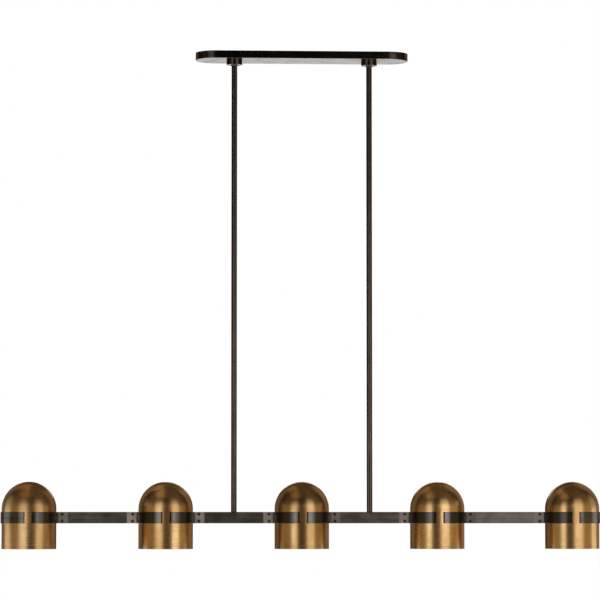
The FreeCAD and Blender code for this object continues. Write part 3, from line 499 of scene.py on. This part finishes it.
def make_bulbs():
    glass = speckled(
        "opal_glass", (0.80, 0.78, 0.73), (0.88, 0.87, 0.83), 180.0, 0.01 * MM, 0.30,
        coat_weight=0.5, coat_roughness=0.12, subsurface_weight=0.25, subsurface_scale=0.004,
    )
    shell = speckled(
        "nickel_shell", (0.55, 0.53, 0.49), (0.70, 0.68, 0.63), 420.0, 0.01 * MM, 0.30, metallic=1.0
    )
    black_glass = speckled(
        "black_glass", (0.010, 0.010, 0.012), (0.030, 0.028, 0.030), 300.0, 0.01 * MM, 0.20
    )
    solder = speckled("solder", (0.42, 0.42, 0.42), (0.60, 0.60, 0.59), 600.0, 0.05 * MM, 0.35, metallic=1.0)
    for number in SHADE_NUMBERS:
        globe = turned(f"bulb_glass_{number}", glass_outline(), glass)
        parts = [
            (globe, "lamp_white"),
            (turned(f"bulb_screw_base_{number}", base_outline(), shell, thread), "zinc_steel"),
            (turned(f"bulb_insulator_{number}", insulator_outline(), black_glass), "black_plastic"),
            (turned(f"bulb_contact_{number}", contact_outline(), solder), "zinc_steel"),
        ]
        for piece, slot in parts:
            piece.location = (SHADE_X[number], 0.0, BAR_Z)
            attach(piece, f"bulb_{number}")
        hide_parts(f"bulb_{number}")


# Studio.


def glow(name, level, tint, profile=None):
    """A plain glow, or one whose level follows its place by a profile."""
    finish = Finish(name)
    strength = level
    if profile:
        strength = finish.math("MULTIPLY", profile(finish, *finish.axes(finish.place)), level)
    inputs = {"Color": colour(*tint), "Strength": strength}
    return finish.end(finish.add("ShaderNodeEmission", inputs).outputs[0])


def softbox_profile(finish, x, y, z):
    """Full at the row's height, then fading upwards and, on the left, outwards."""
    above = finish.math("MAXIMUM", finish.math("SUBTRACT", z, SOFTBOX_FULL), 0.0)
    fade = finish.math("EXPONENT", finish.math("MULTIPLY", above, -1.0 / SOFTBOX_FADE))
    fade = finish.math("MULTIPLY", fade, finish.between(z, *SOFTBOX_TOP))
    return finish.math("MULTIPLY", fade, finish.between(x, *SOFTBOX_LEFT_END))


def fill_profile(finish, x, y, z):
    """Full beside the shades, darker above them."""
    return finish.between(z, *FILL_UPWARDS)


def strip_profile(finish, x, y, z):
    """Full beside the shades' walls, faint beside their domes and nearly dark beside the stems."""
    return finish.math("MULTIPLY", finish.between(z, *STRIP_BY_DOMES), finish.between(z, *STRIP_BY_STEMS))


def flag_profile(finish, x, y, z):
    """Darkest in front of the row's middle, with a paler patch above the domes to each side."""
    aside = finish.math("ABSOLUTE", finish.math("SUBTRACT", x, FLAG_MIDDLE_X))
    height = finish.math("MULTIPLY", finish.between(z, *PATCH_FOOT), finish.between(z, *PATCH_HEAD))
    sides = finish.math("ADD", finish.between(x, *PATCH_RIGHT), finish.between(x, *PATCH_LEFT))
    patch = finish.math("MULTIPLY", height, sides)
    lit = finish.math("ADD", finish.between(aside, *FLAG_ASIDE), patch)
    return finish.math("MULTIPLY", lit, finish.between(z, *FLAG_UPWARDS))


def overhead_profile(finish, x, y, z):
    """Darkest over the row's middle, lighter to both sides and towards the back."""
    sides = finish.math("ADD", finish.between(x, *OVERHEAD_LEFT), finish.between(x, *OVERHEAD_RIGHT))
    aside = finish.math("MAXIMUM", sides, finish.between(y, *OVERHEAD_BEHIND))
    return finish.math("ADD", aside, OVERHEAD_LEAST)


def hide_from_camera(thing):
    thing.visible_camera = False


def card(name, start, end, level, tint=(1, 1, 1), profile=None, low=CARD_LOW, high=CARD_HIGH):
    """An upright card between two (x, y) places."""
    corners = [(*start, low), (*end, low), (*end, high), (*start, high)]
    piece = add_mesh(name, corners, [(0, 1, 2, 3)], glow(name, level, tint, profile))
    hide_from_camera(piece)


def disc(name, radius, z, material):
    turns = [2 * math.pi * step / DISC_STEPS for step in range(DISC_STEPS)]
    ring = [(radius * math.cos(turn), radius * math.sin(turn), z) for turn in turns]
    piece = add_mesh(name, ring, [tuple(range(DISC_STEPS))], material)
    return piece


def floor_finish():
    """A pale floor that keeps soft shadows near its middle, meets the white world and is clear from below."""
    finish = Finish("pale_floor")
    x, y, _ = finish.axes(finish.place)
    away = finish.math("SQRT", finish.squares(x, y))
    pale = finish.add("ShaderNodeBsdfDiffuse", {"Color": colour(0.9, 0.9, 0.9)}).outputs[0]
    white = finish.add("ShaderNodeEmission", {"Color": colour(1, 1, 1), "Strength": 1.0}).outputs[0]
    path = finish.add("ShaderNodeLightPath").outputs
    seen = finish.math("MAXIMUM", path["Is Glossy Ray"], path["Is Transmission Ray"])
    seen = finish.math("MAXIMUM", path["Is Camera Ray"], seen)
    lift = finish.math("MULTIPLY", finish.between(away, *FLOOR_LIFT), seen)
    mixed = finish.add("ShaderNodeMixShader", {0: lift, 1: pale, 2: white}).outputs[0]
    clear = finish.add("ShaderNodeBsdfTransparent").outputs[0]
    below = finish.add("ShaderNodeNewGeometry").outputs["Backfacing"]
    return finish.end(finish.add("ShaderNodeMixShader", {0: below, 1: mixed, 2: clear}).outputs[0])


def lamp(name, place, aim, size, power):
    """A soft lamp for what isn't glossy. The cards are what the metal shows."""
    data = bpy.data.lights.new(name, "AREA")
    data.shape = "RECTANGLE"
    data.size, data.size_y = size
    data.energy = power
    thing = bpy.data.objects.new(name, data)
    thing.location = place
    thing.rotation_euler = (Vector(aim) - Vector(place)).to_track_quat("-Z", "Y").to_euler()
    thing.visible_glossy = False
    hide_from_camera(thing)
    bpy.context.scene.collection.objects.link(thing)


def make_studio():
    card("front_flag", FRONT_LEFT, FRONT_RIGHT, 0.033, WARM_DARK, flag_profile)
    card("softbox_left", FRONT_LEFT, CORNER_LEFT, 1.15, profile=softbox_profile)
    card("softbox_right", FRONT_RIGHT, CORNER_RIGHT, 1.18, profile=softbox_profile)
    card("side_fill_left", CORNER_LEFT, (-SIDE_X, SIDE_FLAG_Y), 0.28, WARM, fill_profile)
    card("side_fill_right", CORNER_RIGHT, (SIDE_X, SIDE_FLAG_Y), 0.34, WARM, fill_profile)
    # Each side: its sign and name, the strip's two ends and level, the flag's far end, and the rear's level.
    sides = (
        (-1, "left", -0.11, 0.24, 0.96, 1.25, 0.18),
        (1, "right", -0.115, 0.19, 1.22, 1.0, 0.25),
    )
    for side, side_name, strip_near, strip_far, strip_level, flag_far, rear_level in sides:
        strip_x, flag_x, rear_x = SIDE_STRIP_X * side, SIDE_X * side, REAR_X * side
        strip = (strip_x, strip_near), (strip_x, strip_far)
        card(f"side_strip_{side_name}", *strip, strip_level, profile=strip_profile, low=SIDE_STRIP_LOW)
        card(f"side_flag_{side_name}", (flag_x, SIDE_FLAG_Y), (flag_x, flag_far), 0.015, WARM_DARK)
        card(f"rear_{side_name}", (flag_x, flag_far), (rear_x, REAR_Y), rear_level, TAN)
    card("rear_middle", (-REAR_X, REAR_Y), (REAR_X, REAR_Y), 0.06, TAN)
    rear_strip = (REAR_STRIP_LEFT, REAR_STRIP_Y), (REAR_STRIP_RIGHT, REAR_STRIP_Y)
    card("rear_strip", *rear_strip, 1.2, low=REAR_STRIP_LOW, high=REAR_STRIP_HIGH)
    ceiling = glow("overhead_flag", 0.085, WARM_DARK, overhead_profile)
    hide_from_camera(disc("overhead_flag", CEILING_R, CARD_HIGH, ceiling))
    disc("floor", FLOOR_R, FLOOR_Z, floor_finish())
    row = (0.0, 0.0, BAR_Z)
    lamp("overhead_lamp", (0.0, -0.3, 1.2), (0.0, 0.0, FLOOR_Z), (3.0, 2.2), 45.0)
    lamp("front_lamp_left", (-1.9, -2.1, -0.4), row, (1.6, 2.0), 22.0)
    lamp("front_lamp_right", (1.9, -2.1, -0.4), row, (1.6, 2.0), 22.0)
    lamp("rear_lamp", (0.0, 2.6, -0.2), row, (2.4, 1.6), 18.0)


def make_world():
    world = bpy.data.worlds.new("white_world")
    world.use_nodes = True
    background = world.node_tree.nodes["Background"]
    background.inputs["Color"].default_value = colour(1, 1, 1)
    background.inputs["Strength"].default_value = 1.0
    bpy.context.scene.world = world


def make_camera():
    data = bpy.data.cameras.new("camera")
    data.lens = CAMERA_LENS
    data.clip_end = 100.0
    camera = bpy.data.objects.new("camera", data)
    camera.location = CAMERA_PLACE
    camera.rotation_euler = (math.radians(90 + CAMERA_UP_DEG), 0.0, math.radians(-CAMERA_RIGHT_DEG))
    bpy.context.scene.collection.objects.link(camera)
    bpy.context.scene.camera = camera


make_camera()
make_world()
make_studio()
paint_nodes(make_finishes())
make_bulbs()
bpy.context.scene.view_settings.view_transform = "Standard"
